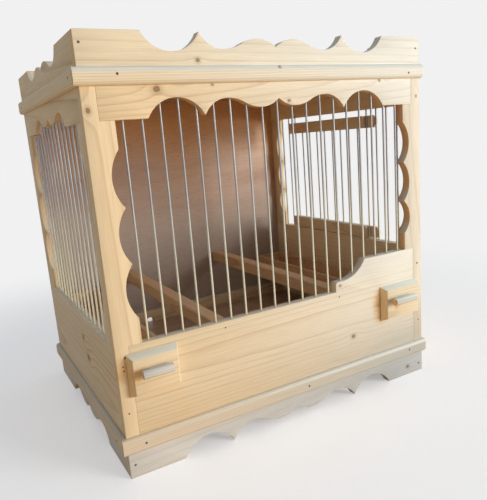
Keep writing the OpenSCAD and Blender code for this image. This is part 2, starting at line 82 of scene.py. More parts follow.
class Graph:
    """Short calls for the nodes of one tree, which starts empty."""

    def __init__(self, tree):
        self.tree = tree
        tree.nodes.clear()

    def add(self, kind, **settings):
        node = self.tree.nodes.new(kind)
        for key, value in settings.items():
            setattr(node, key, value)
        return node

    def put(self, socket, value):
        """Links a socket or sets a constant."""
        if isinstance(value, bpy.types.NodeSocket):
            self.tree.links.new(value, socket)
        else:
            socket.default_value = value

    def position(self):
        return self.add("ShaderNodeTexCoord").outputs["Object"]

    def split(self, vector):
        """A vector's three numbers, picked by axis."""
        node = self.add("ShaderNodeSeparateXYZ")
        self.put(node.inputs[0], vector)
        return node.outputs

    def facing(self):
        """The three numbers of the way that the surface looks."""
        return self.split(self.add("ShaderNodeTexCoord").outputs["Normal"])

    def math(self, operation, a, b=0.0, clamp=False):
        node = self.add("ShaderNodeMath", operation=operation, use_clamp=clamp)
        self.put(node.inputs[0], a)
        self.put(node.inputs[1], b)
        return node.outputs[0]

    def total(self, first, *others):
        for other in others:
            first = self.math("ADD", first, other)
        return first

    def product(self, first, *others):
        for other in others:
            first = self.math("MULTIPLY", first, other)
        return first

    def share(self, value, start, end):
        """How far value has come on the way from start to end, from 0 to 1."""
        return self.math("DIVIDE", self.math("SUBTRACT", value, start), end - start, clamp=True)

    def vector(self, operation, a, b=(0, 0, 0)):
        node = self.add("ShaderNodeVectorMath", operation=operation)
        self.put(node.inputs[0], a)
        self.put(node.inputs[1], b)
        return node.outputs["Value" if operation in MEASURES else "Vector"]

    def mapping(self, vector, scale=(1, 1, 1), shift=(0, 0, 0)):
        node = self.add("ShaderNodeMapping")
        self.put(node.inputs["Vector"], vector)
        node.inputs["Scale"].default_value = scale
        node.inputs["Location"].default_value = shift
        return node.outputs["Vector"]

    def noise(self, vector, scale, detail=2.0, roughness=0.5):
        """Noise from 0 to 1; scale is how fine it is, per metre."""
        node = self.add("ShaderNodeTexNoise")
        self.put(node.inputs["Vector"], vector)
        node.inputs["Scale"].default_value = scale
        node.inputs["Detail"].default_value = detail
        node.inputs["Roughness"].default_value = roughness
        return node.outputs["Fac"]

    def swing(self, vector, *kind):
        """The same from -0.5 to 0.5."""
        return self.math("SUBTRACT", self.noise(vector, *kind), 0.5)

    def ramp(self, value, stops, interpolation="LINEAR"):
        """A colour ramp; a stop is (position, number or colour)."""
        node = self.add("ShaderNodeValToRGB")
        ramp = node.color_ramp
        ramp.interpolation = interpolation
        while len(ramp.elements) < len(stops):
            ramp.elements.new(0.5)
        for element, (place, colour) in zip(ramp.elements, stops):
            element.position = place
            if isinstance(colour, (int, float)):
                colour = (colour, colour, colour)
            element.color = (*colour, 1.0)
        self.put(node.inputs["Fac"], value)
        return node.outputs["Color"]

    def mix(self, factor, a, b, blend="MIX"):
        node = self.add("ShaderNodeMix", data_type="RGBA", blend_type=blend)
        self.put(node.inputs["Factor"], factor)
        for socket, value in ((COLOUR_A, a), (COLOUR_B, b)):
            if isinstance(value, tuple):
                value = (*value, 1.0)
            self.put(node.inputs[socket], value)
        return node.outputs[COLOUR_OUT]

    def mix_shaders(self, factor, a, b):
        node = self.add("ShaderNodeMixShader")
        for socket, value in zip(node.inputs, (factor, a, b)):
            self.put(socket, value)
        return node.outputs[0]

    def seen(self):
        """1 for rays that look, straight, off gloss or through glass, and 0 for those that bring light."""
        rays = self.add("ShaderNodeLightPath")
        seen = rays.outputs["Is Camera Ray"]
        for kind in ("Is Glossy Ray", "Is Transmission Ray"):
            seen = self.math("MAXIMUM", seen, rays.outputs[kind])
        return seen


class Look(Graph):
    """A new material with one principled shader."""

    def __init__(self, name):
        self.material = bpy.data.materials.new(name)
        self.material.use_nodes = True
        super().__init__(self.material.node_tree)
        self.shader = self.add("ShaderNodeBsdfPrincipled")
        self.surface = self.add("ShaderNodeOutputMaterial").inputs["Surface"]
        self.put(self.surface, self.shader.outputs["BSDF"])

    def set(self, name, value):
        self.put(self.shader.inputs[name], value)

    def bump(self, height, strength, distance):
        node = self.add("ShaderNodeBump")
        node.inputs["Strength"].default_value = strength
        node.inputs["Distance"].default_value = distance
        self.put(node.inputs["Height"], height)
        self.set("Normal", node.outputs["Normal"])


def srgb(r, g, b):
    """A colour written as 0 to 255 values on screen, made linear."""
    def linear(c):
        c = c / 255
        return c / 12.92 if c <= 0.04045 else ((c + 0.055) / 1.055) ** 2.4
    return (linear(r), linear(g), linear(b))


def drawn_out(grain, share):
    """The scale that draws a pattern out along the grain."""
    return tuple(share if axis == grain else 1.0 for axis in (X, Y, Z))


# ---- Wood ----

# Early and late wood
CREAM = (srgb(240, 225, 195), srgb(192, 160, 120))      # most boards
GOLD = (srgb(241, 219, 180), srgb(196, 154, 108))       # the warmer ones
DULL = (srgb(226, 210, 184), srgb(184, 156, 124))       # the lower bands
GREY = (srgb(220, 219, 213), srgb(184, 176, 164))       # grey wood: the skirts and the pulls
BROWN = (srgb(230, 192, 146), srgb(190, 144, 100))      # the perches and the drawers' hidden boards
HONEY = (srgb(255, 234, 194), srgb(230, 188, 136))      # the side door and two boards of its wall

RESIN = srgb(236, 202, 154)
PALE = srgb(240, 243, 236)                              # pale wood: painted light towards +X high up, and the calm stretch of the front board
ASH = srgb(180, 188, 186)                               # painted shade, ashen grey, towards +X low down
SLATE = srgb(160, 173, 182)                             # painted shade, bluer grey, towards +X on the front skirt
PAINTED_RIGHT_LATE = srgb(212, 204, 184)                       # late wood where light and shade are painted towards +X
CUT_LIGHT = srgb(248, 190, 112)                               # painted warm light on sawn edges
END = srgb(222, 190, 146)                               # sawn ends
END_LINES = (0.6, 0.5, 0.4)                             # how much light late wood throws back in them
GOLDEN = srgb(255, 220, 162)                            # the drawer blocks' left ends
SUNLIT_END = srgb(255, 252, 242)                        # painted sunlight on the right ends
BOUNCE_TINT = (0.92, 0.66, 0.38)                              # painted warm bounce light and shade: how much of the colour a spot keeps
KNOT = (0.45, 0.28, 0.19)                               # and a knot
KNOT_CORE = (0.2, 0.12, 0.09)

# Faces that look up: painted sky light, lighter and bluer
SKY_PAINT = srgb(212, 214, 208)
UPPER_BAND_SKY_PAINT = srgb(216, 221, 216)
LOWER_BAND_SKY_PAINT = srgb(238, 241, 234)
LEFT_BLOCK_SKY_PAINT = srgb(226, 232, 224)
RIGHT_BLOCK_SKY_PAINT = srgb(232, 240, 232)
PULL_SKY_PAINT = srgb(226, 240, 234)

# Noises: how fine they are per metre, and where it isn't the usual, their detail and roughness
SWAY = (10.0, 1.0, 0.4)
WOBBLE = (55.0,)
PATCHES = (16.0,)
RESIN_CLOUDS = (22.0,)
KNOT_RIM = (700.0,)
KNOT_SPECKS = (900.0,)
BOUNCE_RIM = (300.0,)
THREADS = (1100.0, 3.0, 0.65)

SLOW = 0.12                     # how far slow patterns are drawn out along the grain
THREAD = 0.025                  # and the fibres
WOOD_SHIFT = (1.37, 0.71, 2.13) # how far a board's seed moves its slow patterns
SWAY_ACROSS = 7 * MM            # how far the fibres sway over the board's width
SWAY_OF_RINGS = 5 * MM          # how far the rings sway
WOBBLE_OF_RINGS = 1.3 * MM      # and wobble

# A year's line from one winter to the next, how dark whole lines are, and how dark they are in patches
YEAR = [(0.0, 0.0), (0.5, 0.05), (0.78, 0.4), (0.91, 1.0), (0.97, 0.7), (1.0, 0.0)]
DARKER_YEARS = [(0.0, 0.35), (1.0, 1.0)]
DARKER_PATCHES = [(0.3, 0.55), (0.7, 1.0)]
LINES = 0.85                    # how strong the lines are in all

KNOT_ALONG = 0.8                # a knot is longer along the grain
KNOT_RAGGED = 0.5               # how far its rim wanders, in knots' radii
KNOT_PUSH = 1.2                 # how far the fibres part round it, in the same
KNOT_FALL = -0.045              # how fast that falls off
NATURAL = 2.718                 # the base of that fall
KNOT_LOOK = 0.25                # the ramp below ends four radii out
KNOT_RINGS = [(0.0, 0.75), (0.17, 0.9), (0.24, 0.75), (0.31, 0.28), (0.7, 0.0)]

BOUNCE_RAGGED = 0.6              # how far a painted bounce spot's rim wanders, in its radii
BOUNCE_CORE = 0.15               # how much of it is one colour

PAINTED_RIGHT_FROM, PAINTED_RIGHT_TO = -120 * MM, 130 * MM            # where light and shade are painted, in X
ASH_BELOW, PALE_ABOVE = 45 * MM, 105 * MM               # painted shade below, painted light above, in Z
PAINTED_RIGHT_LINES = 0.7            # how far the lines fade with the painted light and shade
CALM_LINES = 0.25               # what is left of them where they are calm
CALM_PALE = 0.4                 # and how pale the wood is there

EDGE_UP = [(0.1, 1.0), (0.5, 0.0)]                      # painted warm light on sawn edges, the less the more they look up
CUT_WAY_LEAST = -0.6                                    # what looks further against cut_way gets no painted warm light
END_SHADE = 0.5                                         # how much the ends' own colours are shaded by lines
FIBRE_SHADE = 0.5                                       # how much the fibres shade the colour,
FIBRE_SHADES = [(0.32, 0.8), (0.6, 1.0)]                # from these on
WOOD_ROUGHNESS = [(0.3, 0.72), (0.7, 0.58)]
WOOD_GLOSS = 0.3
FIBRE_HEIGHT, LATE_HEIGHT = 0.6, 0.4                    # shares in the bump
WOOD_BUMP = (0.3, 0.2 * MM)                             # strength and depth


class Board(Look):
    """The wood of one board: its fibres run along grain, and seed sets its slow patterns apart."""

    def __init__(self, node, grain, seed):
        super().__init__("wood_" + node)
        self.low, self.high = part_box(node)
        self.grain = grain
        size = self.high - self.low
        others = (axis for axis in (X, Y, Z) if axis != grain)
        self.thin, self.wide = sorted(others, key=lambda axis: size[axis])
        self.at = self.position()
        self.place = self.split(self.at)
        self.slow = self.mapping(self.at, drawn_out(grain, SLOW), tuple(seed * far for far in WOOD_SHIFT))

    def rings(self, depth, heart, slope, side):
        """Distance from the tree's heart, which the wandering fibres bend."""
        grain, thin, wide = self.grain, self.thin, self.wide
        middle = (self.low + self.high) / 2
        sway = self.swing(self.slow, *SWAY)
        wobble = self.swing(self.slow, *WOBBLE)
        run_out = self.product(self.math("SUBTRACT", self.place[grain], middle[grain]), slope)
        deep = self.math("SUBTRACT", self.place[thin], middle[thin] + side * depth * MM)
        deep = self.total(deep, run_out)
        heart_at = middle[wide] + heart * (self.high[wide] - self.low[wide]) / 2
        across = self.math("SUBTRACT", self.place[wide], heart_at)
        across = self.total(across, self.product(sway, SWAY_ACROSS))
        radius = self.math("SQRT", self.total(self.product(deep, deep), self.product(across, across)))
        return self.total(radius, self.product(sway, SWAY_OF_RINGS), self.product(wobble, WOBBLE_OF_RINGS))

    def in_radii(self, distance, size, rim, ragged):
        """A distance from a spot's middle as a share of its radius, which is ragged."""
        ratio = self.math("DIVIDE", distance, size * MM)
        return self.total(ratio, self.product(self.swing(self.at, *rim), ragged))

    def part_round(self, radius, knots):
        """The rings with the fibres parted round each knot, and how dark the knots are."""
        reach = [1.0, 1.0, 1.0]
        reach[self.thin] = 0.0
        reach[self.grain] = KNOT_ALONG
        dark = None
        for place, size in knots:
            near = self.vector("MULTIPLY", self.vector("SUBTRACT", self.at, Vector(place) * MM), reach)
            ratio = self.in_radii(self.vector("LENGTH", near), size, KNOT_RIM, KNOT_RAGGED)
            swell = self.math("POWER", NATURAL, self.product(ratio, ratio, KNOT_FALL))
            radius = self.total(radius, self.product(swell, size * KNOT_PUSH * MM))
            spot = self.ramp(self.product(ratio, KNOT_LOOK), KNOT_RINGS)
            dark = spot if dark is None else self.math("MAXIMUM", dark, spot)
        return radius, dark

    def years(self, radius, ring, contrast):
        """How late in its year the wood grew, and how strong its line is."""
        years = self.math("DIVIDE", radius, ring * MM)
        late = self.ramp(self.math("FRACT", years), YEAR)
        year = self.add("ShaderNodeTexWhiteNoise", noise_dimensions="1D")
        self.put(year.inputs["W"], self.math("FLOOR", years))
        darkness = self.ramp(year.outputs["Value"], DARKER_YEARS)
        patches = self.ramp(self.noise(self.slow, *PATCHES), DARKER_PATCHES)
        return late, self.product(late, darkness, patches, LINES * contrast)

    def painted_right_tint(self, base, lines, painted_right, tint):
        """The two colours, taken more and more towards +X to the tint: painted light where it is pale and
        painted shade where it is ashen.
        """
        share = self.product(self.share(self.place[X], PAINTED_RIGHT_FROM, PAINTED_RIGHT_TO), painted_right)
        if tint is None:
            # painted shade low down, painted light high up, unless a tint is given
            tint = self.mix(self.share(self.place[Z], ASH_BELOW, PALE_ABOVE), ASH, PALE)
        lines = self.mix(self.product(share, PAINTED_RIGHT_LINES), lines, PAINTED_RIGHT_LATE)
        return self.mix(share, base, tint), lines

    def sawn(self, colour, strength, cut, cut_way, ends, end):
        """Painted warm light on the sawn edges, unless they look up, and the two sawn ends."""
        facing = self.facing()
        cut_light_share = self.ramp(self.math("ABSOLUTE", facing[self.thin]), [(0.2, cut), (0.75, 0.0)])
        cut_light_share = self.product(cut_light_share, self.ramp(facing[Z], EDGE_UP))
        if cut_way:
            lit_side = self.math("GREATER_THAN", self.product(facing[X], cut_way), CUT_WAY_LEAST)
            cut_light_share = self.product(cut_light_share, lit_side)
        colour = self.mix(cut_light_share, colour, CUT_LIGHT)
        along = facing[self.grain]
        end_colour = self.mix(self.math("GREATER_THAN", along, 0.0), *ends)
        end_lines = self.mix(strength, (1.0, 1.0, 1.0), END_LINES)
        end_colour = self.mix(END_SHADE, end_colour, end_lines, "MULTIPLY")
        end_on = self.ramp(self.math("ABSOLUTE", along), [(0.55, 0.0), (0.9, end)])
        return self.mix(end_on, colour, end_colour)

    def sky_painted(self, colour, sky_paint, sky_paint_colour, slant, turn, sky_paint_right):
        """Painted sky light on what looks up."""
        sky_share = self.ramp(self.facing()[Z], [(slant, 0.0), (slant + turn, sky_paint)])
        if sky_paint_right:
            sky_share = self.product(sky_share, self.share(self.place[X], self.low.x, self.high.x))
        return self.mix(sky_share, colour, sky_paint_colour)

    def bounce_painted(self, colour, stains_and_bounce):
        # painted warm bounce light and shade: darker, warmer spots next to the blocks and pulls
        for place, size, strength in stains_and_bounce:
            away = self.vector("DISTANCE", self.at, Vector(place) * MM)
            ratio = self.in_radii(away, size, BOUNCE_RIM, BOUNCE_RAGGED)
            spot = self.ramp(ratio, [(BOUNCE_CORE, strength), (1.0, 0.0)], "EASE")
            colour = self.mix(spot, colour, BOUNCE_TINT, "MULTIPLY")
        return colour


def softwood(node, grain, seed, side, heart, depth=60, slope=0.02, ring=3.0, contrast=1.0, tones=CREAM,
             knots=(), stains_and_bounce=(), resin=0.35, painted_right=0.0, tint=None, calm=None,
             cut=0.3, cut_way=None, ends=(END, END), end=0.3,
             sky_paint=0.55, sky_paint_colour=SKY_PAINT, slant=0.45, turn=0.4, sky_paint_right=False):
    """Bare spruce or pine for one board, whose fibres run along the axis grain.

    depth, side     the tree's heart lies depth mm through the board's thickness, to this side
    heart           and this many half widths from the board's middle
    slope           how far the heart runs away from it along the fibres
    ring            width of a year in mm
    contrast        how dark the years' lines are
    tones           colours of early and late wood
    knots, stains   (place in mm, radius in mm), and for a stain, which is painted warm bounce light and shade, its strength too
    resin           how warm the wood is in clouds
    bleach, tint    how far the end towards +X takes the colour tint, which is painted light where it is pale and
                painted shade where it is ashen; without one it is pale high up and ashen low down
    calm            the two heights in mm between which the lines fade and the wood turns pale
    cut, cut_way    how much painted warm light the sawn edges get, apart from those that look against cut_way along X
    ends, end       colours of the ends towards the axis's low and high side, and how strong they are
    dust, dusty     how much painted sky light the faces that look up get, and its colour
    slant, turn     how far up a face looks where the painted sky light begins, and from there to where it is full
    sky_paint_right       the painted sky light lies towards +X only
    """
    g = Board(node, grain, seed)
    radius, dark = g.part_round(g.rings(depth, heart, slope, side), knots)
    late, strength = g.years(radius, ring, contrast)
    base, lines = tones
    base = g.mix(g.ramp(g.noise(g.slow, *RESIN_CLOUDS), [(0.4, 0.0), (0.75, resin)]), base, RESIN)
    if painted_right:
        base, lines = g.painted_right_tint(base, lines, painted_right, tint)
    if calm:
        rise = g.share(g.place[Z], calm[0] * MM, calm[1] * MM)
        strength = g.product(strength, g.ramp(rise, [(0.0, 1.0), (1.0, CALM_LINES)]))
        base = g.mix(g.ramp(rise, [(0.0, 0.0), (1.0, CALM_PALE)]), base, PALE)
    colour = g.sawn(g.mix(strength, base, lines), strength, cut, cut_way, ends, end)
    colour = g.sky_painted(colour, sky_paint, sky_paint_colour, slant, turn, sky_paint_right)
    colour = g.bounce_painted(colour, stains_and_bounce)

    fibres = g.noise(g.mapping(g.at, drawn_out(grain, THREAD)), *THREADS)
    colour = g.mix(FIBRE_SHADE, colour, g.ramp(fibres, FIBRE_SHADES), "MULTIPLY")
    if dark is not None:
        colour = g.mix(dark, colour, g.mix(g.noise(g.at, *KNOT_SPECKS), KNOT, KNOT_CORE), "MULTIPLY")
    g.set("Base Color", colour)
    g.set("Roughness", g.ramp(fibres, WOOD_ROUGHNESS))
    g.set("Specular IOR Level", WOOD_GLOSS)
    g.bump(g.total(g.product(fibres, FIBRE_HEIGHT), g.product(late, LATE_HEIGHT)), *WOOD_BUMP)
    return g.material


RED_PLY = (srgb(192, 140, 100), srgb(218, 174, 134))
DULL_PLY = (srgb(196, 164, 134), srgb(220, 194, 166))
SHEEN_PLY = srgb(194, 172, 164)                       # painted sheen, in clouds
LIT_HIGH_PLY = srgb(242, 186, 130)                          # painted warm light high up on the back panel's inner side
SHEEN_LOW_PLY = srgb(180, 165, 154)                         # painted grey sheen low down on it

FIGURE = (46.0, 3.0, 0.55)                              # noises, as above
CLOUDS = (6.0, 1.0)
PORES = (1600.0, 2.0, 0.6)
PLY_SLOW = 0.09                                         # how far the figure is drawn out along X
PLY_PORE = 0.04                                         # and the pores
PLY_SHIFT = (1.1, 0.6, 1.9)                             # how far a sheet's seed moves its figure
CLOUD_RAMP = [(0.35, 0.0), (0.7, 0.7)]
PANEL_TOP = 0.4                                         # the height in metres at which these two end
LOW_DOWN = [(0.37, 0.9), (0.66, 0.0)]
HIGH_UP = [(0.62, 0.0), (0.76, 0.85)]
PORE_SHADE = 0.5                                        # how much the pores shade the colour,
PORE_SHADES = [(0.34, 0.6), (0.5, 1.0)]                 # from these on
PLY_ROUGHNESS = [(0.3, 0.48), (0.7, 0.38)]
PLY_BUMP = (0.2, 0.15 * MM)


def plywood(node, seed, tones, painted_gradient=False):
    """Thin reddish-brown plywood: faint long figure and short dark pores along X, and a painted sheen in
    clouds. On the inner side of a panel that asks for it, which looks to the front, light is painted warm
    high up and a grey sheen low down."""
    g = Look("ply_" + node)
    at = g.position()
    slow = g.mapping(at, drawn_out(X, PLY_SLOW), tuple(seed * far for far in PLY_SHIFT))
    figure = g.noise(slow, *FIGURE)
    clouds = g.noise(g.mapping(at, shift=(seed, seed, seed)), *CLOUDS)
    colour = g.mix(g.ramp(figure, [(0.3, 0.0), (0.7, 1.0)]), *tones)
    # painted sheen: the sheet greyer in clouds
    colour = g.mix(g.ramp(clouds, CLOUD_RAMP), colour, SHEEN_PLY)
    if painted_gradient:
        rise = g.product(g.split(at)[Z], 1 / PANEL_TOP)
        # painted light and sheen, only on the inner side
        inner = g.math("LESS_THAN", g.facing()[Y], -0.5)
        colour = g.mix(g.product(g.ramp(rise, LOW_DOWN), inner), colour, SHEEN_LOW_PLY)
        colour = g.mix(g.product(g.ramp(rise, HIGH_UP), inner), colour, LIT_HIGH_PLY)
    pores = g.noise(g.mapping(at, drawn_out(X, PLY_PORE)), *PORES)
    g.set("Base Color", g.mix(PORE_SHADE, colour, g.ramp(pores, PORE_SHADES), "MULTIPLY"))
    g.set("Roughness", g.ramp(figure, PLY_ROUGHNESS))
    g.bump(pores, *PLY_BUMP)
    return g.material


# ---- Steel ----

WIRE_STAINS = (45.0,)                                   # noises, as above
DRAW_MARKS = (3000.0, 1.0)
RUST_SPOTS = (900.0, 3.0, 0.6)
STAIN_LENGTH = 0.3                                      # how far they are drawn out along the wire
MARK_LENGTH = 0.01
WIRE_TOP = 4.0                                          # the ramp ends at a fourth of a metre's height
# painted light low down, cream, and painted shade high up, grey
WIRE_LIT_AND_SHADED = [(0.45, srgb(226, 218, 186)), (0.95, srgb(152, 149, 148))]
WIRE_SHADE = 0.6                                        # how much the stains shade the colour,
WIRE_SHADES = [(0.35, 0.7), (0.65, 1.0)]                # from these on
WIRE_ROUGHNESS = [(0.3, 0.5), (0.7, 0.38)]
WIRE_BUMP = (0.1, 0.03 * MM)
NAIL_TONES = [(0.3, srgb(70, 50, 38)), (0.7, srgb(122, 106, 94))]
NAIL_ROUGHNESS = [(0.3, 0.7), (0.7, 0.45)]
NAIL_METAL = 0.6


def wire_steel():
    """Drawn steel wire, dull, with painted light low down, painted shade high up and a few darker
    stretches.
    """
    g = Look("drawn_wire")
    at = g.position()
    stains_and_bounce = g.noise(g.mapping(at, drawn_out(Z, STAIN_LENGTH)), *WIRE_STAINS)
    metal = g.ramp(g.product(g.split(at)[Z], WIRE_TOP), WIRE_LIT_AND_SHADED)
    g.set("Base Color", g.mix(WIRE_SHADE, metal, g.ramp(stains_and_bounce, WIRE_SHADES), "MULTIPLY"))
    g.set("Metallic", 1.0)
    g.set("Roughness", g.ramp(stains_and_bounce, WIRE_ROUGHNESS))
    g.bump(g.noise(g.mapping(at, drawn_out(Z, MARK_LENGTH)), *DRAW_MARKS), *WIRE_BUMP)
    return g.material


def nail_steel():
    g = Look("nail_head")
    spots = g.noise(g.position(), *RUST_SPOTS)
    g.set("Base Color", g.ramp(spots, NAIL_TONES))
    g.set("Metallic", NAIL_METAL)
    g.set("Roughness", g.ramp(spots, NAIL_ROUGHNESS))
    return g.material


# ---- Crisp but eased edges on the carried-over solids ----

SMOOTH_BELOW = math.radians(30)         # edges flatter than this are shaded smoothly
EASE_ABOVE = math.radians(25)           # and sharper ones eased, if they are this long
SHORTEST = 0.5 * MM
FLAT = math.radians(0.3)                # faces that meet flatter than this become one
WELD = 0.002 * MM
BOARD_EASE = 0.45 * MM
PLY_EASE = 0.2 * MM
EASE_SEGMENTS = 2


def modifier_graph(name):
    """An empty modifier tree, the geometry that comes in and the socket that takes the result."""
    tree = bpy.data.node_groups.new(name, "GeometryNodeTree")
    for way in ("INPUT", "OUTPUT"):
        tree.interface.new_socket("Geometry", in_out=way, socket_type="NodeSocketGeometry")
    g = Graph(tree)
    return g, g.add("NodeGroupInput").outputs[0], g.add("NodeGroupOutput").inputs[0]


def above(g, value, limit):
    node = g.add("FunctionNodeCompare", data_type="FLOAT", operation="GREATER_THAN")
    g.put(node.inputs[0], value)
    g.put(node.inputs[1], limit)
    return node.outputs[0]


def sharper(g, limit):
    return above(g, g.add("GeometryNodeInputMeshEdgeAngle").outputs["Unsigned Angle"], limit)


def smooth_group():
    """Shades smoothly, apart from the sharp edges."""
    g, geometry, result = modifier_graph("smooth_by_angle")
    faces = g.add("GeometryNodeSetShadeSmooth", domain="FACE")
    edges = g.add("GeometryNodeSetShadeSmooth", domain="EDGE")
    g.put(edges.inputs["Shade Smooth"], False)
    g.put(faces.inputs["Geometry"], geometry)
    g.put(edges.inputs["Geometry"], faces.outputs[0])
    g.put(edges.inputs["Selection"], sharper(g, SMOOTH_BELOW))
    g.put(result, edges.outputs[0])
    return g.tree


def edge_group():
    """Weights the edges that are to be eased."""
    g, geometry, result = modifier_graph("weigh_edges")
    ends = g.add("GeometryNodeInputMeshEdgeVertices")
    length = g.vector("DISTANCE", ends.outputs["Position 1"], ends.outputs["Position 2"])
    both = g.add("FunctionNodeBooleanMath", operation="AND")
    g.put(both.inputs[0], sharper(g, EASE_ABOVE))
    g.put(both.inputs[1], above(g, length, SHORTEST))
    store = g.add("GeometryNodeStoreNamedAttribute", data_type="FLOAT", domain="EDGE")
    g.put(store.inputs["Name"], "bevel_weight_edge")
    g.put(store.inputs["Geometry"], geometry)
    g.put(store.inputs["Value"], both.outputs[0])
    g.put(result, store.outputs[0])
    return g.tree


SMOOTH = smooth_group()
WEIGH = edge_group()


def dress(node, material, ease=BOARD_EASE):
    """Gives a carried-over solid its material, welds it, eases its sharp edges and shades it smoothly."""
    obj = nodes[node]
    obj.data.materials.clear()
    obj.data.materials.append(material)
    obj.modifiers.new("weld", "WELD").merge_threshold = WELD
    if ease > 0:
        flat = obj.modifiers.new("flat", "DECIMATE")
        flat.decimate_type = "DISSOLVE"
        flat.angle_limit = FLAT
        obj.modifiers.new("weigh", "NODES").node_group = WEIGH
        bevel = obj.modifiers.new("ease", "BEVEL")
        bevel.limit_method = "WEIGHT"
        bevel.width = ease
        bevel.segments = EASE_SEGMENTS
        bevel.use_clamp_overlap = False
    obj.modifiers.new("smooth", "NODES").node_group = SMOOTH


def new_object(name, mesh, material):
    """Turns a bmesh into an object of the scene."""
    data = bpy.data.meshes.new(name)
    mesh.to_mesh(data)
    mesh.free()
    data.materials.append(material)
    piece = bpy.data.objects.new(name, data)
    bpy.context.scene.collection.objects.link(piece)
    return piece


# ---- The cage's boards ----

# Faces of the case, its bands and its drawer blocks, in mm
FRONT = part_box("front_board")[0].y / MM
BAND_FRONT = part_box("lower_band_front")[0].y / MM
BLOCK_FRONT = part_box("drawer_right_block")[0].y / MM
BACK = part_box("back_panel")[1].y / MM
BAND_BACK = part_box("lower_band_back")[1].y / MM
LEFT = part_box("left_board")[0].x / MM
BAND_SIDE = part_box("lower_band_right")[1].x / MM


def on_y(y, *spots):
    """Knots or stains on a face at y: X, Z and what follows the place."""
    return [((x, y, z), *rest) for x, z, *rest in spots]


DRAWER_BOARD = dict(tones=BROWN, sky_paint=0.2)

